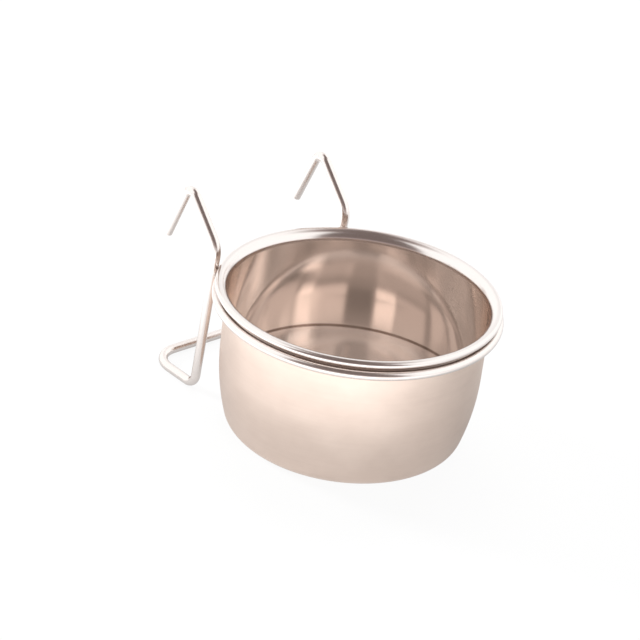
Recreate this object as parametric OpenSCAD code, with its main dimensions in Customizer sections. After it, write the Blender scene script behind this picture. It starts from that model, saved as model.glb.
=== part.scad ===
// Hook-on seed cup: a drawn steel cup with a rolled rim, hung in a welded wire holder.
// Origin at the centre of the cup's base, +Z up the cup's axis, +Y towards the cage.

/* [Cup] */
// Outside diameter of the straight upper wall
wall_d = 88; // [70:1:120]
// Height from the table to the top of the rim
cup_h = 51.5; // [42:0.5:70]
// Thickness of the drawn sheet
sheet_t = 0.6; // [0.4:0.05:1]
// Height at which the wall starts to draw in towards the base
belly_h = 26.5; // [18:0.5:34]
// Radius of the slow curve of the lower wall
belly_r = 81; // [60:1:140]
// Radius between the wall and the base
corner_r = 5.8; // [3:0.1:9]

/* [Rolled rim] */
// Thickness of the bead, the rolled edge seen in section
bead_d = 2.4; // [2.1:0.1:4]
// Distance from the wall's outside to the middle of the bead
lip_w = 2.6; // [2.4:0.05:5]
// Radius under the lip, where the wall turns outwards
lip_r = 3; // [1:0.1:3.2]
// How far round the sheet is rolled, from the top of the bead
curl_turn = 285; // [200:5:320]

/* [Wire] */
// Thickness of the ring's and the hanger's wire
wire_d = 3.2; // [2:0.1:3.6]
// Bevel on the cut ends of the hooks
end_bevel = 0.4; // [0.2:0.05:0.7]
// How far the hanger is pressed into the ring where they are welded
weld_sink = 0.15; // [0.1:0.05:0.4]
// Width of the metal squeezed out round each weld
weld_w = 3.8; // [3.4:0.1:4.6]

/* [Holder] */
// Distance between the two hooks, middle to middle of the wire
hook_spacing = 58; // [44:1:70]
// Height of the knee above the ring's middle, where the leg turns into the hook
knee_rise = 10.1; // [8:0.1:20]
// Height of the hook's peak above the knee, where its straight sides would meet
peak_rise = 16.9; // [12:0.1:30]
// How far the hook's tip drops below the peak
tip_drop = 22.8; // [14:0.1:34]
// How far the spacer's bar lies behind the legs' feet
spacer_depth = 23.5; // [16:0.5:40]
// Angle by which each leg leans towards the cup above its foot
leg_lean = 4.8; // [0:0.1:10]
// Angle at which the hook rises from the knee, above the horizontal
hook_slope = 46.7; // [36:0.1:60]
// Angle at which the hook's end drops from the peak, below the horizontal
tip_slope = 66.7; // [55:0.1:85]

/* [Bends] */
// Radius of the hook's peak, to the middle of the wire
peak_r = 3.2; // [2.4:0.1:4.5]
// Radius of the knee, to the middle of the wire
knee_r = 8; // [4:0.5:12]
// Radius of the foot, to the middle of the wire
foot_r = 4.5; // [3:0.1:8]
// Radius of the spacer's corners, to the middle of the wire
spacer_r = 9.5; // [4:0.5:11]

/* [Fit] */
// Gap between the bead and the ring that it rests on
seat_gap = 0.9; // [0.2:0.05:1]
// Least gap between the bead and the legs as the cup is lifted out
leg_gap = 0.15; // [0.1:0.05:0.5]

/* [Hidden] */

// Facets of the revolved forms, of the bends and of the wire's section
revolve_facets = 180;
bend_facets = 72;
wire_facets = 24;
// Straight steps in each curve of the cup's section, and in its curl
curve_steps = 12;
curl_steps = 28;
// The bends are a hair thicker than the straights, by this much all round, and the ends of the
// straights lie this far inside them
bend_swell = 0.01;
bend_lap = 0.05;

wall_r = wall_d / 2;
wire_r = wire_d / 2;
bead_r = bead_d / 2;
bead_x = wall_r + lip_w;
bead_z = cup_h - bead_r;
// Angle below the horizontal at which the belly's curve meets the corner's
belly_turn = asin((belly_h - corner_r) / (belly_r - corner_r));
corner_x = wall_r - belly_r + (belly_r - corner_r) * cos(belly_turn);
// Where the lip's curve is wider than the lip it ends before it is level, this far round the bead
lip_reach = lip_r + sheet_t - bead_r;
lip_turn = lip_r > lip_w ? asin((lip_r - lip_w) / lip_reach) : 0;
lip_bend_z = bead_z - lip_reach * cos(lip_turn);

ring_z = bead_z - bead_r - seat_gap - wire_r;
hook_x = hook_spacing / 2;
foot_z = wire_r + bend_swell;
knee_z = ring_z + knee_rise;
foot_turn = 90 - leg_lean;
knee_turn = 90 + leg_lean - hook_slope;
peak_turn = hook_slope + tip_slope;
// The legs come nearest to the cup's axis where the knee's bend begins, and clear the bead there
near_z = knee_z - knee_r * tan(knee_turn / 2) * cos(leg_lean);
near_y = sqrt(pow(bead_x + bead_r + leg_gap + wire_r, 2) - pow(hook_x, 2));
leg_y = near_y + (near_z - ring_z) * tan(leg_lean);
bar_y = leg_y + (ring_z - foot_z) * tan(leg_lean) + spacer_depth;
// The ring lies inside the legs, pressed into them by the depth of the welds
leg_r = norm([hook_x, leg_y]);
ring_r = leg_r - wire_d + weld_sink;
// Where the middle of the weld lies, as a share of the leg's distance from the cup's axis
weld_share = (ring_r + wire_r - weld_sink / 2) / leg_r;

// Half of the hanger's wire, from the middle of the spacer's bar to a hook's tip: the distances
// between its corners, as if it were bent sharp, and the radius, turn and roll of each bend
wire_sides = [
    hook_x,
    spacer_depth,
    (knee_z - foot_z) / cos(leg_lean),
    peak_rise / sin(hook_slope),
    tip_drop / sin(tip_slope)
];
wire_bends = [
    [spacer_r, 90, 0],
    [foot_r, foot_turn, -90],
    [knee_r, knee_turn, 0],
    [peak_r, peak_turn, 0]
];

function reversed(list) = [for (i = [len(list) - 1 : -1 : 0]) list[i]];
function arc(x, z, r, from, to, steps = curve_steps) =
    [for (i = [0 : steps]) let (a = from + (to - from) * i / steps) [x + r * cos(a), z + r * sin(a)]];

// One face of the sheet, from the middle of the base to the end of the curl.
// The inset is the distance from the sheet's outer face.
function sheet_face(inset) = concat(
    [[0, inset]],
    arc(corner_x, corner_r, corner_r - inset, -90, -belly_turn),
    arc(wall_r - belly_r, belly_h, belly_r - inset, -belly_turn, 0),
    arc(wall_r + lip_r, lip_bend_z, lip_r + inset, 180, 90 + lip_turn),
    arc(bead_x, bead_z, bead_r - sheet_t + inset, 90 + lip_turn, 90 - curl_turn, curl_steps)
);

module cup() {
    color([0.80, 0.72, 0.66])
        rotate_extrude($fn = revolve_facets)
            polygon(concat(sheet_face(0), reversed(sheet_face(sheet_t))));
}

// How much of the straight wire on either side of its corner a bend takes up
function bend_reach(i) = i < 0 ? 0 : wire_bends[i][0] * tan(wire_bends[i][1] / 2);

// A bend that turns the wire from +Z towards +X, and its children after it
module bend(r, turn) {
    translate([r, 0, 0]) {
        rotate([90, 0, 180])
            rotate_extrude(angle = turn, $fn = bend_facets)
                translate([r, 0]) circle(d = wire_d + 2 * bend_swell, $fn = wire_facets);
        rotate([0, turn, 0]) translate([-r, 0, 0]) children();
    }
}

// The wire from corner i to its end, along +Z, each bend carrying what comes after it
module wire_from(i) {
    at_tip = i == len(wire_bends);
    length = wire_sides[i] - bend_reach(i - 1) - (at_tip ? end_bevel : bend_reach(i));
    lap_before = i == 0 ? 0 : bend_lap;
    lap_after = at_tip ? 0 : bend_lap;
    translate([0, 0, -lap_before])
        cylinder(h = lap_before + length + lap_after, d = wire_d, $fn = wire_facets);
    translate([0, 0, length])
        if (at_tip)
            cylinder(h = end_bevel, d1 = wire_d, d2 = wire_d - 2 * end_bevel, $fn = wire_facets);
        else
            rotate([0, 0, wire_bends[i][2]])
                bend(wire_bends[i][0], wire_bends[i][1]) wire_from(i + 1);
}

module hanger_wire() {
    for (side = [0, 1])
        mirror([side, 0, 0])
            translate([0, bar_y, foot_z]) rotate([0, 90, 0]) rotate([0, 0, -90]) wire_from(0);
}

module ring_wire() {
    translate([0, 0, ring_z])
        rotate_extrude($fn = revolve_facets)
            translate([ring_r, 0]) circle(d = wire_d, $fn = wire_facets);
}

module ring() {
    color([0.82, 0.76, 0.72]) ring_wire();
}

// The hanger beds into the ring at both welds
module hanger() {
    color([0.78, 0.70, 0.66])
        difference() {
            hanger_wire();
            ring_wire();
        }
}

// The metal squeezed out round one weld, on the side of the given sign
module weld(side) {
    color([0.62, 0.56, 0.53])
        difference() {
            translate([side * hook_x * weld_share, leg_y * weld_share, ring_z])
                sphere(d = weld_w, $fn = wire_facets);
            ring_wire();
            hanger_wire();
        }
}

cup();
ring();
hanger();
weld(-1);  // weld_left
weld(1);  // weld_right
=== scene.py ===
import math

import bpy
from mathutils import Matrix, Vector, noise


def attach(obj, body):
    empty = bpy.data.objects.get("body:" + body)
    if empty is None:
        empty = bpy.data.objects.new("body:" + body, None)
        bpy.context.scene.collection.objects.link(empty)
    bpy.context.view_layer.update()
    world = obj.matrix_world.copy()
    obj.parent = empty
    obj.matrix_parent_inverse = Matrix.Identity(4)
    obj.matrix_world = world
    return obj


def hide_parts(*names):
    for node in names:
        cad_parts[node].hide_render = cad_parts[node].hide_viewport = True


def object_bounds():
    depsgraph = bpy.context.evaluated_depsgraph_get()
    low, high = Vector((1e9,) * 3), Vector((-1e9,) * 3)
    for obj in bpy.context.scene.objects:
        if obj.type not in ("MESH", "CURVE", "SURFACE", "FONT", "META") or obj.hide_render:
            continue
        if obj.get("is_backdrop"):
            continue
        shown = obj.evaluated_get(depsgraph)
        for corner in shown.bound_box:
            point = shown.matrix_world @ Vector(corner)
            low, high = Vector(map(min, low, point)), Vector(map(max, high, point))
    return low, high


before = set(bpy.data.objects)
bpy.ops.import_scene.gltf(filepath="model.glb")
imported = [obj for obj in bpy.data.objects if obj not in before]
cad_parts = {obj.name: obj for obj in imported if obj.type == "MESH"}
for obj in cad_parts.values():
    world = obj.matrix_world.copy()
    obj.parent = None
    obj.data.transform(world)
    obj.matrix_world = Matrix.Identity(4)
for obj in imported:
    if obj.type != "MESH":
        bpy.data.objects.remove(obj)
bounds_at_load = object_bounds()

# Sizes in millimetres, the same as in the CAD source
MM = 0.001
WALL_R, CUP_H, SHEET_T = 44.0, 51.5, 0.6
BELLY_H, BELLY_R, CORNER_R = 26.5, 81.0, 5.8
BEAD_R, LIP_W, LIP_R, CURL_TURN = 1.2, 2.6, 3.0, 285.0
WIRE_R, END_BEVEL, BEND_SWELL = 1.6, 0.4, 0.01
HOOK_X, KNEE_RISE, PEAK_RISE, TIP_DROP = 29.0, 10.1, 16.9, 22.8
SPACER_DEPTH, LEG_LEAN, HOOK_SLOPE, TIP_SLOPE = 23.5, 4.8, 46.7, 66.7
PEAK_R, KNEE_R, FOOT_R, SPACER_R = 3.2, 8.0, 4.5, 9.5
SEAT_GAP, LEG_GAP, WELD_SINK, WELD_R = 0.9, 0.15, 0.15, 1.9

BEAD_X, BEAD_Z = WALL_R + LIP_W, CUP_H - BEAD_R
RING_Z = BEAD_Z - BEAD_R - SEAT_GAP - WIRE_R
FOOT_Z = WIRE_R + BEND_SWELL
KNEE_Z = RING_Z + KNEE_RISE

# Faces round the cup, round the ring and its wire, and round the hanger's wire
CUP_TURNS, RING_TURNS, RING_SIDES, HANGER_SIDES = 288, 256, 32, 28
# Degrees of each step along a bend of the hanger
BEND_STEP = 3.5
# Faces up and round a weld
WELD_ROWS, WELD_SIDES = 14, 24
# UV units along a surface for each millimetre
UV_PER_MM = 0.01

# Height of a painted dark line on the inside wall, which stands in for a dark reflection, in
# millimetres
PAINTED_LINE_Z = 15.0
# Heights between which painted shade darkens the outside under the lip
SHADE_UNDER_LIP_Z = (45.6, 47.0)


def tan(degrees):
    return math.tan(math.radians(degrees))


# Where the hanger's corners lie, worked out as in the CAD source
knee_reach = KNEE_R * tan((90 + LEG_LEAN - HOOK_SLOPE) / 2)
near_z = KNEE_Z - knee_reach * math.cos(math.radians(LEG_LEAN))
near_y = math.sqrt((BEAD_X + BEAD_R + LEG_GAP + WIRE_R) ** 2 - HOOK_X ** 2)
leg_y = near_y + (near_z - RING_Z) * tan(LEG_LEAN)
leg_r = math.hypot(HOOK_X, leg_y)
ring_r = leg_r - 2 * WIRE_R + WELD_SINK
foot_y = leg_y + (RING_Z - FOOT_Z) * tan(LEG_LEAN)
bar_y = foot_y + SPACER_DEPTH
knee_y = leg_y - KNEE_RISE * tan(LEG_LEAN)
peak_y = knee_y + PEAK_RISE / tan(HOOK_SLOPE)
peak_z = KNEE_Z + PEAK_RISE
tip_y = peak_y + TIP_DROP / tan(TIP_SLOPE)
tip_z = peak_z - TIP_DROP


# Shapes

def mesh_object(name, verts, faces, normals, uvs, materials, face_materials):
    """A mesh in metres from millimetres, with its own normal and UV at each face's corner."""
    mesh = bpy.data.meshes.new(name)
    mesh.from_pydata([(x * MM, y * MM, z * MM) for x, y, z in verts], [], faces)
    layer = mesh.uv_layers.new(name="surface")
    for i, uv in enumerate(uvs):
        layer.data[i].uv = uv
    for material in materials:
        mesh.materials.append(material)
    mesh.polygons.foreach_set("material_index", face_materials)
    mesh.polygons.foreach_set("use_smooth", [True] * len(faces))
    mesh.normals_split_custom_set(normals)
    mesh.validate()
    obj = bpy.data.objects.new(name, mesh)
    bpy.context.scene.collection.objects.link(obj)
    return obj


def arc(x, z, r, start, end, steps, outward=1):
    """Points on an arc in the section plane, each with the surface's normal there."""
    points = []
    for i in range(steps + 1):
        a = math.radians(start + (end - start) * i / steps)
        c, s = math.cos(a), math.sin(a)
        points.append(((x + r * c, z + r * s), (outward * c, outward * s)))
    return points


def sheet_face(inset, side):
    """One face of the cup's sheet, from the base's middle to the curl's end, as in the source."""
    turn = math.degrees(math.asin((BELLY_H - CORNER_R) / (BELLY_R - CORNER_R)))
    corner_x = WALL_R - BELLY_R + (BELLY_R - CORNER_R) * math.cos(math.radians(turn))
    lip_reach = LIP_R + SHEET_T - BEAD_R
    lip_turn = math.degrees(math.asin((LIP_R - LIP_W) / lip_reach))
    lip_z = BEAD_Z - lip_reach * math.cos(math.radians(lip_turn))
    return [
        [((0, inset), (0, -side)), ((corner_x, inset), (0, -side))],
        arc(corner_x, CORNER_R, CORNER_R - inset, -90, -turn, 20, side),
        arc(WALL_R - BELLY_R, BELLY_H, BELLY_R - inset, -turn, 0, 16, side),
        [((WALL_R - inset, BELLY_H), (side, 0)), ((WALL_R - inset, lip_z), (side, 0))],
        arc(WALL_R + LIP_R, lip_z, LIP_R + inset, 180, 90 + lip_turn, 20, -side),
        arc(BEAD_X, BEAD_Z, BEAD_R - SHEET_T + inset, 90 + lip_turn, 90 - CURL_TURN, 48, -side),
    ]


def lathe(name, runs, turns, materials, material_of):
    """Revolves runs of section points about Z. Corners on the axis become one vertex."""
    verts, faces, normals, uvs, face_materials = [], [], [], [], []
    rings = {}

    def ring_of(point):
        key = (round(point[0], 5), round(point[1], 5))
        if key not in rings:
            if key[0] == 0:
                rings[key] = [len(verts)] * turns
                verts.append((0, 0, point[1]))
            else:
                rings[key] = list(range(len(verts), len(verts) + turns))
                for k in range(turns):
                    a = 2 * math.pi * k / turns
                    verts.append((point[0] * math.cos(a), point[0] * math.sin(a), point[1]))
        return rings[key]

    along = 0
    for r, run in enumerate(runs):
        for (p, pn), (q, qn) in zip(run, run[1:]):
            length = math.dist(p, q)
            if length < 1e-6:
                continue
            lower, upper = ring_of(p), ring_of(q)
            for k in range(turns):
                n = (k + 1) % turns
                corners = [
                    (lower[k], pn, k, along),
                    (lower[n], pn, k + 1, along),
                    (upper[n], qn, k + 1, along + length),
                    (upper[k], qn, k, along + length),
                ]
                if p[0] == 0:
                    corners = [corners[0], corners[2], corners[3]]
                if q[0] == 0:
                    corners = corners[:3]
                faces.append([c[0] for c in corners])
                face_materials.append(material_of(r))
                for _, normal, turn, v in corners:
                    a = 2 * math.pi * turn / turns
                    normals.append((normal[0] * math.cos(a), normal[0] * math.sin(a), normal[1]))
                    uvs.append((turn / turns, v * UV_PER_MM))
            along += length
    return mesh_object(name, verts, faces, normals, uvs, materials, face_materials)


def bent_path(corners, radii):
    """Points and directions along a wire bent at its corners with true arcs."""
    corners = [Vector(c) for c in corners]
    path = [(corners[0], (corners[1] - corners[0]).normalized())]
    for i in range(1, len(corners) - 1):
        before = (corners[i] - corners[i - 1]).normalized()
        after = (corners[i + 1] - corners[i]).normalized()
        turn = before.angle(after)
        reach = radii[i] * math.tan(turn / 2)
        inward = (after - before * before.dot(after)).normalized()
        start = corners[i] - before * reach
        centre = start + inward * radii[i]
        steps = max(6, math.ceil(math.degrees(turn) / BEND_STEP))
        for k in range(steps + 1):
            c, s = math.cos(turn * k / steps), math.sin(turn * k / steps)
            point = centre - inward * radii[i] * c + before * radii[i] * s
            path.append((point, before * c + inward * s))
    path.append((corners[-1], (corners[-1] - corners[-2]).normalized()))
    return path


def swept(name, path, radius, bevel, sides, material):
    """A round wire along a path, with a bevel at both cut ends."""
    rows = [(path[0][0], path[0][1], radius - bevel)]
    rows.append((path[0][0] + path[0][1] * bevel, path[0][1], radius))
    rows += [(p, d, radius) for p, d in path[1:-1]]
    rows.append((path[-1][0] - path[-1][1] * bevel, path[-1][1], radius))
    rows.append((path[-1][0], path[-1][1], radius - bevel))
    across = Vector((1, 0, 0))
    if abs(rows[0][1].x) > 0.9:
        across = Vector((0, 1, 0))
    verts, faces, normals, uvs = [], [], [], []
    # The distance along the wire and the spokes of its section, at each row
    stations, along = [], 0
    previous = None
    for point, direction, r in rows:
        across = (across - direction * across.dot(direction)).normalized()
        other = direction.cross(across)
        if previous is not None:
            along += (point - previous).length
        previous = point
        spokes = []
        for k in range(sides):
            a = 2 * math.pi * k / sides
            spokes.append(across * math.cos(a) + other * math.sin(a))
        stations.append((along, spokes))
        verts += [tuple(point + spoke * r) for spoke in spokes]
    last = len(rows) - 1
    for i in range(last):
        low_v, high_v = stations[i][0] * UV_PER_MM, stations[i + 1][0] * UV_PER_MM
        # Both bevels' normals lean half way to the wire's ends
        tilt = {0: -1, last - 1: 1}.get(i, 0)
        for k in range(sides):
            n = (k + 1) % sides
            faces.append([i * sides + k, i * sides + n, (i + 1) * sides + n, (i + 1) * sides + k])
            for j, s in ((i, k), (i, n), (i + 1, n), (i + 1, k)):
                normals.append(tuple((stations[j][1][s] + rows[j][1] * tilt).normalized()))
            low_u, high_u = k / sides, (k + 1) / sides
            uvs += [(low_u, low_v), (high_u, low_v), (high_u, high_v), (low_u, high_v)]
    for row, sign in ((0, -1), (last, 1)):
        cap = [row * sides + k for k in range(sides)]
        if sign < 0:
            cap.reverse()
        faces.append(cap)
        normals += [tuple(rows[row][1] * sign)] * sides
        uvs += [(0.5, 0.5)] * sides
    return mesh_object(name, verts, faces, normals, uvs, [material], [0] * len(faces))


def nugget(name, sign, seed):
    """The metal squeezed out round a weld, a little uneven."""
    share = (ring_r + WIRE_R - WELD_SINK / 2) / leg_r
    centre = Vector((sign * HOOK_X * share, leg_y * share, RING_Z))
    # The lumps' middle size, and how far they go from it, as shares of the weld's radius
    middle, unevenness = 0.93, 0.06
    verts, faces = [centre + Vector((0, 0, -1)) * WELD_R * middle], []
    for i in range(1, WELD_ROWS):
        for k in range(WELD_SIDES):
            a, b = math.pi * i / WELD_ROWS, 2 * math.pi * k / WELD_SIDES
            way = Vector((math.sin(a) * math.cos(b), math.sin(a) * math.sin(b), -math.cos(a)))
            lump = noise.noise(way * 1.7 + Vector((seed, 0, 0)))
            verts.append(centre + way * WELD_R * (middle + unevenness * max(-1, min(1, lump))))
    verts.append(centre + Vector((0, 0, 1)) * WELD_R * middle)
    top = len(verts) - 1
    for k in range(WELD_SIDES):
        n = (k + 1) % WELD_SIDES
        faces.append([0, 1 + n, 1 + k])
        faces.append([top, top - WELD_SIDES + k, top - WELD_SIDES + n])
        for i in range(WELD_ROWS - 2):
            low, high = 1 + i * WELD_SIDES, 1 + (i + 1) * WELD_SIDES
            faces.append([low + k, low + n, high + n, high + k])
    mesh = bpy.data.meshes.new(name)
    mesh.from_pydata([tuple(v * MM) for v in verts], [], faces)
    mesh.materials.append(weld)
    mesh.polygons.foreach_set("use_smooth", [True] * len(faces))
    mesh.validate()
    obj = bpy.data.objects.new(name, mesh)
    bpy.context.scene.collection.objects.link(obj)
    return obj


# Nodes

def nodes_of(name):
    material = bpy.data.materials.new(name)
    material.use_nodes = True
    tree = material.node_tree
    for node in list(tree.nodes):
        tree.nodes.remove(node)
    out = tree.nodes.new("ShaderNodeOutputMaterial")
    bsdf = tree.nodes.new("ShaderNodeBsdfPrincipled")
    tree.links.new(bsdf.outputs["BSDF"], out.inputs["Surface"])
    return material, tree, bsdf


def noise_of(tree, vector, scale, detail=2.0, roughness=0.5):
    node = tree.nodes.new("ShaderNodeTexNoise")
    node.inputs["Scale"].default_value = scale
    node.inputs["Detail"].default_value = detail
    node.inputs["Roughness"].default_value = roughness
    tree.links.new(vector, node.inputs["Vector"])
    return node.outputs["Fac"]


def stretched(tree, scale):
    """The object's own coordinates, in metres, scaled along each axis."""
    coord = tree.nodes.new("ShaderNodeTexCoord")
    mapping = tree.nodes.new("ShaderNodeMapping")
    mapping.inputs["Scale"].default_value = scale
    tree.links.new(coord.outputs["Object"], mapping.inputs["Vector"])
    return mapping.outputs["Vector"]


def height_of(tree):
    """The height above the cup's base, in millimetres."""
    axes = tree.nodes.new("ShaderNodeSeparateXYZ")
    tree.links.new(stretched(tree, (1 / MM, 1 / MM, 1 / MM)), axes.inputs["Vector"])
    return axes.outputs["Z"]


def ranged(tree, value, low, high, from_low=0.0, from_high=1.0, interpolation="LINEAR"):
    node = tree.nodes.new("ShaderNodeMapRange")
    node.interpolation_type = interpolation
    node.inputs["From Min"].default_value = from_low
    node.inputs["From Max"].default_value = from_high
    node.inputs["To Min"].default_value = low
    node.inputs["To Max"].default_value = high
    tree.links.new(value, node.inputs["Value"])
    return node.outputs["Result"]


def smooth(tree, value, low, high, from_low, from_high):
    return ranged(tree, value, low, high, from_low, from_high, "SMOOTHSTEP")


def mixed(tree, factor, a, b):
    """A colour from a to b. Each is a colour or another node's output."""
    node = tree.nodes.new("ShaderNodeMix")
    node.data_type = "RGBA"
    tree.links.new(factor, node.inputs[0])
    for i, colour in ((6, a), (7, b)):
        if isinstance(colour, tuple):
            node.inputs[i].default_value = (*colour, 1)
        else:
            tree.links.new(colour, node.inputs[i])
    return node.outputs[2]


def math_node(tree, operation, a, b=None, c=None):
    node = tree.nodes.new("ShaderNodeMath")
    node.operation = operation
    for i, value in enumerate((a, b, c)):
        if value is None:
            continue
        if isinstance(value, (int, float)):
            node.inputs[i].default_value = value
        else:
            tree.links.new(value, node.inputs[i])
    return node.outputs[0]


def bumped(tree, height, strength, distance):
    node = tree.nodes.new("ShaderNodeBump")
    node.inputs["Strength"].default_value = strength
    node.inputs["Distance"].default_value = distance
    tree.links.new(height, node.inputs["Height"])
    return node.outputs["Normal"]


# Materials

def satin_steel():
    """Satin steel with fine lines round it, darkened under the lip by painted shade."""
    material, tree, bsdf = nodes_of("satin_steel")
    bsdf.inputs["Metallic"].default_value = 1.0
    bsdf.inputs["Anisotropic"].default_value = 0.6
    tangent = tree.nodes.new("ShaderNodeTangent")
    tangent.direction_type = "RADIAL"
    tangent.axis = "Z"
    tree.links.new(tangent.outputs["Tangent"], bsdf.inputs["Tangent"])
    lines = noise_of(tree, stretched(tree, (40, 40, 6000)), 1.0, 3.0, 0.6)
    blotches = noise_of(tree, stretched(tree, (60, 60, 90)), 1.0, 3.0, 0.6)
    streaks = noise_of(tree, stretched(tree, (14, 14, 900)), 1.0, 2.0, 0.7)
    streaks = math_node(tree, "SUBTRACT", streaks, 0.5)
    blotches = math_node(tree, "MULTIPLY_ADD", streaks, 0.3, blotches)
    unshaded = mixed(tree, blotches, (0.73, 0.59, 0.51), (0.89, 0.74, 0.65))
    # Painted shade: the colour turns dark under the lip, in the crevice that the lip and the ring
    # shade
    painted_shade = smooth(tree, height_of(tree), 0.0, 1.0, *SHADE_UNDER_LIP_Z)
    colour = mixed(tree, painted_shade, unshaded, (0.24, 0.19, 0.17))
    tree.links.new(colour, bsdf.inputs["Base Color"])
    tree.links.new(ranged(tree, lines, 0.30, 0.42), bsdf.inputs["Roughness"])
    tree.links.new(bumped(tree, lines, 0.06, 0.00002), bsdf.inputs["Normal"])
    return material


def polished_steel(name, dark, light, roughness, softening=0.0, painted_line_z=None):
    """Mirror bright steel, its roughness from low to high, with or without a painted dark
    reflection line.
    """
    material, tree, bsdf = nodes_of(name)
    bsdf.inputs["Metallic"].default_value = 1.0
    smears = noise_of(tree, stretched(tree, (50, 50, 50)), 1.0, 4.0, 0.6)
    waves = noise_of(tree, stretched(tree, (35, 35, 35)), 1.0, 1.0, 0.4)
    # Each further reflection is softer, because the drawn steel isn't quite true
    path = tree.nodes.new("ShaderNodeLightPath")
    softer = ranged(tree, path.outputs["Glossy Depth"], 0.0, softening)
    rough = math_node(tree, "ADD", ranged(tree, smears, *roughness), softer)
    tree.links.new(rough, bsdf.inputs["Roughness"])
    colour = mixed(tree, smears, dark, light)
    if painted_line_z is not None:
        away = math_node(tree, "ABSOLUTE", math_node(tree, "SUBTRACT", height_of(tree), painted_line_z))
        line = ranged(tree, away, 1.0, 0.0, 0.2, 0.75)
        patchy = noise_of(tree, stretched(tree, (90, 90, 90)), 1.0, 2.0, 0.5)
        painted_line = math_node(tree, "MULTIPLY", line, ranged(tree, patchy, 0.75, 1.0, 0.3, 0.6))
        # The painted reflection line shows dark where the wall is seen directly, but not in its
        # reflections
        direct = ranged(tree, path.outputs["Glossy Depth"], 1.0, 0.0)
        painted_line = math_node(tree, "MULTIPLY", painted_line, direct)
        colour = mixed(tree, painted_line, colour, (0.30, 0.24, 0.21))
    tree.links.new(colour, bsdf.inputs["Base Color"])
    tree.links.new(bumped(tree, waves, 1.0, 0.00006), bsdf.inputs["Normal"])
    return material


def wire_steel():
    material, tree, bsdf = nodes_of("bright_wire")
    bsdf.inputs["Metallic"].default_value = 1.0
    smears = noise_of(tree, stretched(tree, (300, 300, 300)), 1.0, 3.0, 0.6)
    colour = mixed(tree, smears, (0.90, 0.83, 0.79), (0.95, 0.89, 0.86))
    tree.links.new(colour, bsdf.inputs["Base Color"])
    tree.links.new(ranged(tree, smears, 0.16, 0.28), bsdf.inputs["Roughness"])
    tree.links.new(bumped(tree, smears, 0.08, 0.00008), bsdf.inputs["Normal"])
    return material


def weld_metal():
    material, tree, bsdf = nodes_of("weld_metal")
    bsdf.inputs["Metallic"].default_value = 1.0
    lumps = noise_of(tree, stretched(tree, (900, 900, 900)), 1.0, 3.0, 0.6)
    colour = mixed(tree, lumps, (0.50, 0.42, 0.38), (0.66, 0.58, 0.53))
    tree.links.new(colour, bsdf.inputs["Base Color"])
    tree.links.new(ranged(tree, lumps, 0.25, 0.5), bsdf.inputs["Roughness"])
    tree.links.new(bumped(tree, lumps, 0.4, 0.0002), bsdf.inputs["Normal"])
    return material


satin, wire, weld = satin_steel(), wire_steel(), weld_metal()
mirror = polished_steel(
    "polished_inside", (0.87, 0.815, 0.78), (0.91, 0.855, 0.82), (0.06, 0.10), 0.03, PAINTED_LINE_Z)
bright = polished_steel("polished_rim", (0.88, 0.82, 0.79), (0.92, 0.87, 0.84), (0.16, 0.24))

# The cup's section: outside, then the sheet's rolled edge, then inside
outside, inside = sheet_face(0, 1), sheet_face(SHEET_T, -1)
edge_a, edge_b = outside[-1][-1][0], inside[-1][-1][0]
edge_way = (edge_b[0] - edge_a[0], edge_b[1] - edge_a[1])
edge_len = math.hypot(*edge_way)
edge_normal = (edge_way[1] / edge_len, -edge_way[0] / edge_len)
section = outside + [[(edge_a, edge_normal), (edge_b, edge_normal)]]
section += [list(reversed(run)) for run in reversed(inside)]
# The first runs are the outside with the lip's underside, then comes the rim, and then the inside
SATIN_RUNS, MIRROR_RUNS = 5, 4


def cup_material(run):
    if run < SATIN_RUNS:
        return 0
    return 1 if run < len(section) - MIRROR_RUNS else 2


cup = lathe("cup_shell", section, CUP_TURNS, [satin, bright, mirror], cup_material)
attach(cup, "cup")
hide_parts("cup")

ring_section = [arc(ring_r, RING_Z, WIRE_R, -180, 180, RING_SIDES)]
ring = lathe("ring_wire", ring_section, RING_TURNS, [wire], lambda run: 0)
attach(ring, "holder")
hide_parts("ring")

side = [(tip_y, tip_z), (peak_y, peak_z), (knee_y, KNEE_Z), (foot_y, FOOT_Z), (bar_y, FOOT_Z)]
corners = [(-HOOK_X, y, z) for y, z in side] + [(HOOK_X, y, z) for y, z in reversed(side)]
bends = [0, PEAK_R, KNEE_R, FOOT_R, SPACER_R, SPACER_R, FOOT_R, KNEE_R, PEAK_R, 0]
hanger = swept("hanger_wire", bent_path(corners, bends), WIRE_R, END_BEVEL, HANGER_SIDES, wire)
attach(hanger, "holder")
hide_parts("hanger")

for node, sign, seed in (("weld_left", -1, 3.1), ("weld_right", 1, 8.4)):
    lump = nugget(node + "_nugget", sign, seed)
    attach(lump, "holder")
    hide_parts(node)

# The studio, which is fixed in the frame. Azimuths in it are in degrees from its front, positive
# to the right in the photo. Its front is the side that the photo was taken from.
FRONT_AZIMUTH = -135.9


def bearing_of(tree, vector):
    """The azimuth of a place or a way, in degrees from the studio's front, and its Z."""
    turned = tree.nodes.new("ShaderNodeVectorRotate")
    turned.rotation_type = "Z_AXIS"
    turned.inputs["Angle"].default_value = math.radians(-FRONT_AZIMUTH)
    tree.links.new(vector, turned.inputs["Vector"])
    axes = tree.nodes.new("ShaderNodeSeparateXYZ")
    tree.links.new(turned.outputs["Vector"], axes.inputs["Vector"])
    angle = math_node(tree, "ARCTAN2", axes.outputs["Y"], axes.outputs["X"])
    return math_node(tree, "MULTIPLY", angle, 180 / math.pi), axes.outputs["Z"]


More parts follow.
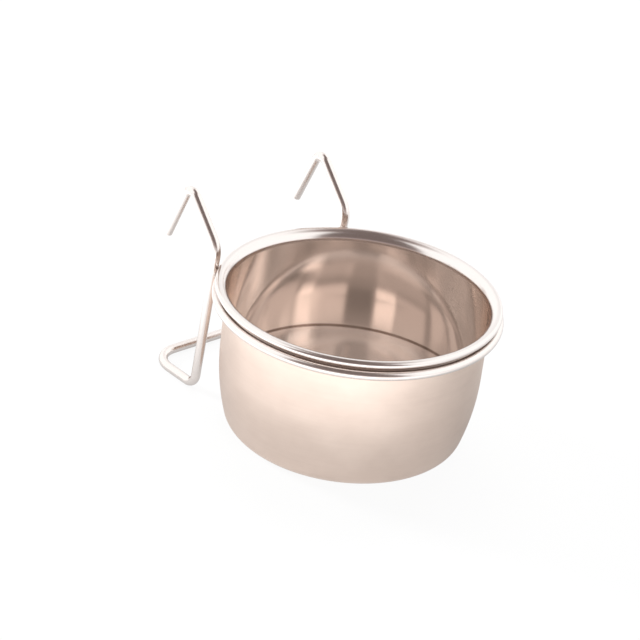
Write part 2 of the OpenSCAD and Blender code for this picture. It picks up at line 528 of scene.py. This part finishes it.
# The floor's brightness as the steel shows it, with a painted pool of light in front and painted
# shadow on the right and round the cup's foot: in front and on the right, then, as shares of
# these, on the left, near the cup's foot, there on the right, and further off
FLOOR_FRONT, FLOOR_RIGHT, FLOOR_LEFT = 1.47, 0.53, 0.60
FLOOR_FOOT, FLOOR_FOOT_RIGHT, FLOOR_FAR = 0.56, 0.80, 1.45
# The azimuths over which it changes
TO_RIGHT, FROM_LEFT, FOOT_TO_RIGHT = (3, 94), (-125, -60), (15, 80)
# The distances from the cup's axis over which it changes, in metres. From the last one on, the
# floor is plain white.
FROM_FOOT, TO_FAR, TO_PLAIN = (0.045, 0.125), (0.10, 0.14), (0.17, 0.28)
# How much of the floor is white by itself, to the camera and to the steel. The lamps light the
# rest of it.
WHITE_SEEN, WHITE_MIRRORED = 0.92, 0.8
# Half of the floor's width in metres, and how far it lies under the cup
FLOOR_HALF, FLOOR_DROP = 6.0, 0.0001

floor_mesh = bpy.data.meshes.new("floor")
floor_signs = [(-1, -1), (1, -1), (1, 1), (-1, 1)]
floor_corners = [(x * FLOOR_HALF, y * FLOOR_HALF, 0) for x, y in floor_signs]
floor_mesh.from_pydata(floor_corners, [], [[0, 1, 2, 3]])
floor = bpy.data.objects.new("floor", floor_mesh)
floor.location.z = -FLOOR_DROP
bpy.context.scene.collection.objects.link(floor)
floor_material, tree, bsdf = nodes_of("white_floor")
bsdf.inputs["Base Color"].default_value = (0.9, 0.9, 0.9, 1)
bsdf.inputs["Roughness"].default_value = 0.9
bsdf.inputs["Specular IOR Level"].default_value = 0.0
white = tree.nodes.new("ShaderNodeEmission")
coord = tree.nodes.new("ShaderNodeTexCoord")
bearing, _ = bearing_of(tree, coord.outputs["Object"])
reach = tree.nodes.new("ShaderNodeVectorMath")
reach.operation = "LENGTH"
tree.links.new(coord.outputs["Object"], reach.inputs[0])
reach = reach.outputs["Value"]
# Painted shadow near the cup's foot, strongest on the right, and painted light in front, which
# only glossy rays see
painted_foot_shadow = smooth(tree, bearing, 1 - FLOOR_FOOT, 1 - FLOOR_FOOT_RIGHT, *FOOT_TO_RIGHT)
painted_foot_shadow = math_node(tree, "MULTIPLY", painted_foot_shadow, smooth(tree, reach, 1.0, 0.0, *FROM_FOOT))
painted_floor_light = smooth(tree, bearing, FLOOR_FRONT, FLOOR_RIGHT, *TO_RIGHT)
for share in (
    smooth(tree, bearing, FLOOR_LEFT, 1.0, *FROM_LEFT),
    math_node(tree, "SUBTRACT", 1.0, painted_foot_shadow),
    smooth(tree, reach, 1.0, FLOOR_FAR, *TO_FAR),
):
    painted_floor_light = math_node(tree, "MULTIPLY", painted_floor_light, share)
path = tree.nodes.new("ShaderNodeLightPath")
glossy = path.outputs["Is Glossy Ray"]
near = math_node(tree, "MULTIPLY", glossy, smooth(tree, reach, 1.0, 0.0, *TO_PLAIN))
change = math_node(tree, "SUBTRACT", painted_floor_light, 1.0)
tree.links.new(math_node(tree, "MULTIPLY_ADD", near, change, 1.0), white.inputs["Strength"])
white_share = math_node(tree, "MULTIPLY", path.outputs["Is Camera Ray"], WHITE_SEEN)
white_share = math_node(tree, "MULTIPLY_ADD", glossy, WHITE_MIRRORED, white_share)
floor_shader = tree.nodes.new("ShaderNodeMixShader")
tree.links.new(white_share, floor_shader.inputs["Fac"])
tree.links.new(bsdf.outputs["BSDF"], floor_shader.inputs[1])
tree.links.new(white.outputs["Emission"], floor_shader.inputs[2])
tree.links.new(floor_shader.outputs["Shader"], tree.nodes["Material Output"].inputs["Surface"])
floor_mesh.materials.append(floor_material)
floor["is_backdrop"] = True

# What the rim, the wires and the outside see of the studio: white cloth at the sides and behind,
# up to a warm dark top, and a dark opening in front
SIDES_GREY = 0.19
SIDES = [
    # brightness over the grey, left, right, low, high, soft edges across and upright
    (0.98, -166, -49, -60, 66, 5, 9),
    (0.98, 44, 164, -60, 66, 5, 9),
    (0.83, -200, -166, -60, 55, 5, 13),
    (0.83, 164, 200, -60, 55, 5, 13),
    (0.24, -49, 44, -60, 14, 5, 10),
]
# What the inside sees through its further reflections
TENT_GREY = 0.38
TENT = [
    (0.66, -112, -56, 24, 37, 6, 3),
    (0.24, -150, -112, 24, 37, 6, 3),
    (0.54, -155, -54, 37, 45, 5, 1.5),
    (0.22, -104, -58, 37, 43.5, 8, 2),
    (0.75, -90, -62, 42, 48, 6, 1.5),
    (0.40, -52, 26, 39, 50, 5, 2),
    (0.32, -52, -8, 26, 39, 6, 2),
    (0.35, -52, -30, 38.5, 41.5, 5, 1.5),
    (-0.12, 157, 200, 33, 42.5, 4, 2),
    (-0.12, -200, -158, 33, 42.5, 5, 2),
    (0.18, 34, 150, 24, 39, 6, 2),
    (0.38, 42, 108, 39.5, 44.5, 6, 1.2),
    (1.05, 110, 150, 37.5, 44.5, 4, 1.5),
    (0.20, 34, 148, 47, 62, 8, 3),
    (0.44, 14, 138, 62, 79, 8, 4),
    (0.26, -158, -84, 50, 76, 8, 4),
    (0.32, -92, -68, 52, 64, 6, 3),
    (1.10, -74, -27, 62, 71.5, 5, 2),
    (-0.20, -30, -8, 56, 68, 5, 3),
    (0.18, -200, 200, 76, 95, 8, 5),
    (0.10, 140, 200, 50, 76, 8, 4),
    (0.10, -200, -150, 50, 76, 8, 4),
]
# The number of reflections over which the inside gets brighter, and by how much of itself
DEEP, DEEP_GAIN = (4, 10), 0.8
# The warm tint of the cloth's dark parts, and of further reflections, which lose it over these
# numbers of reflections
WARM_FIRST, WARM_FURTHER, COOLING = (1.0, 0.79, 0.74), (1.0, 0.845, 0.765), (2.5, 6)
# How much of the world lights surfaces that aren't glossy
DIFFUSE_SHARE = 0.50

world = bpy.data.worlds.new("studio")
bpy.context.scene.world = world
world.use_nodes = True
tree = world.node_tree
for node in list(tree.nodes):
    tree.nodes.remove(node)
coord = tree.nodes.new("ShaderNodeTexCoord")
azimuth, upward = bearing_of(tree, coord.outputs["Generated"])
elevation = math_node(tree, "MULTIPLY", math_node(tree, "ARCSINE", upward), 180 / math.pi)


def between(value, low, high, soft):
    """1 between low and high, 0 outside, with soft edges."""
    over = smooth(tree, value, 0.0, 1.0, low - soft, low + soft)
    past = smooth(tree, value, 0.0, 1.0, high - soft, high + soft)
    return math_node(tree, "MULTIPLY", over, math_node(tree, "SUBTRACT", 1.0, past))


def field(level, patches):
    """A level of brightness with patches of azimuth and elevation added to it."""
    for amount, left, right, low, high, soft, soft_height in patches:
        across = between(azimuth, left, right, soft)
        upright = between(elevation, low, high, soft_height)
        patch = math_node(tree, "MULTIPLY", across, upright)
        level = math_node(tree, "MULTIPLY_ADD", patch, amount, level)
    return level


def chosen(share, a, b):
    """From a to b by a share that is 0 to 1."""
    return math_node(tree, "MULTIPLY_ADD", share, math_node(tree, "SUBTRACT", b, a), a)


path = tree.nodes.new("ShaderNodeLightPath")
depth = path.outputs["Glossy Depth"]
# More than one reflection
further = math_node(tree, "GREATER_THAN", depth, 1.5)
gain = math_node(tree, "MULTIPLY_ADD", smooth(tree, depth, 0.0, 1.0, *DEEP), DEEP_GAIN, 1.0)
sides = field(SIDES_GREY, SIDES)
tent = math_node(tree, "MULTIPLY", field(TENT_GREY, TENT), gain)
diffuse = math_node(tree, "MULTIPLY_ADD", path.outputs["Is Diffuse Ray"], DIFFUSE_SHARE - 1, 1.0)
lit = math_node(tree, "MULTIPLY", chosen(further, sides, tent), diffuse)
darkness = ranged(tree, sides, 1.0, 0.0, 0.3, 1.0)
darkness = math_node(tree, "MULTIPLY", darkness, path.outputs["Is Glossy Ray"])
warmth = math_node(tree, "SUBTRACT", 1.0, smooth(tree, depth, 0.0, 1.0, *COOLING))
colour = mixed(
    tree, further,
    mixed(tree, darkness, (1, 1, 1), WARM_FIRST),
    mixed(tree, warmth, (1, 1, 1), WARM_FURTHER))
background = tree.nodes.new("ShaderNodeBackground")
tree.links.new(colour, background.inputs["Color"])
# The camera itself sees plain white
strength = chosen(path.outputs["Is Camera Ray"], lit, 1.0)
tree.links.new(strength, background.inputs["Strength"])
out = tree.nodes.new("ShaderNodeOutputWorld")
tree.links.new(background.outputs["Background"], out.inputs["Surface"])

# Two lamps behind the cup light the floor, and the cup's soft shadow falls forward and to the
# right. A third evens out the light in front.
LAMPS = [
    # name, azimuth, height in degrees, distance and size in metres, watts
    ("key", -110, 20, 0.8, 0.24, 7.0),
    ("top", 180, 58, 0.9, 0.80, 5.5),
    ("fill", 25, 38, 1.0, 0.60, 3.6),
]
for name, lamp_azimuth, lamp_height, distance, size, watts in LAMPS:
    data = bpy.data.lights.new(name, "AREA")
    data.shape = "DISK"
    data.size = size
    data.energy = watts
    lamp = bpy.data.objects.new(name, data)
    turn, rise = math.radians(FRONT_AZIMUTH + lamp_azimuth), math.radians(lamp_height)
    level = math.cos(rise)
    towards = Vector((math.cos(turn) * level, math.sin(turn) * level, math.sin(rise)))
    lamp.location = towards * distance
    lamp.rotation_euler = towards.to_track_quat("Z", "Y").to_euler()
    lamp.visible_glossy = False
    lamp.visible_camera = False
    bpy.context.scene.collection.objects.link(lamp)

# The camera, fitted to the photo: its place, the point it looks at and the way to its right, in
# millimetres
CAMERA_PLACE = Vector((-492.77, -477.33, 407.35))
CAMERA_AIM = Vector((-3.57, 13.20, 35.21))
CAMERA_RIGHT = Vector((0.73671, -0.66589, 0.11767))
camera_data = bpy.data.cameras.new("camera")
camera_data.lens = 131.8
camera_data.sensor_width = 36
camera_data.clip_end = 20
camera = bpy.data.objects.new("camera", camera_data)
forward = (CAMERA_AIM - CAMERA_PLACE).normalized()
right = (CAMERA_RIGHT - forward * CAMERA_RIGHT.dot(forward)).normalized()
up = right.cross(forward)
turned = Matrix((right, up, -forward)).transposed().to_4x4()
camera.matrix_world = Matrix.Translation(CAMERA_PLACE * MM) @ turned
bpy.context.scene.collection.objects.link(camera)
bpy.context.scene.camera = camera

scene = bpy.context.scene
scene.view_settings.view_transform = "Standard"
# Light crosses the polished inside many times before it leaves the cup
scene.cycles.glossy_bounces = 16
scene.cycles.max_bounces = 16

bounds_at_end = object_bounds()


def plain(value):
    if isinstance(value, dict):
        return {str(k): plain(v) for k, v in value.items()}
    if isinstance(value, (int, float, str)) or value is None:
        return value
    return [plain(v) for v in value]


{"load": plain(bounds_at_load), "end": plain(bounds_at_end)}
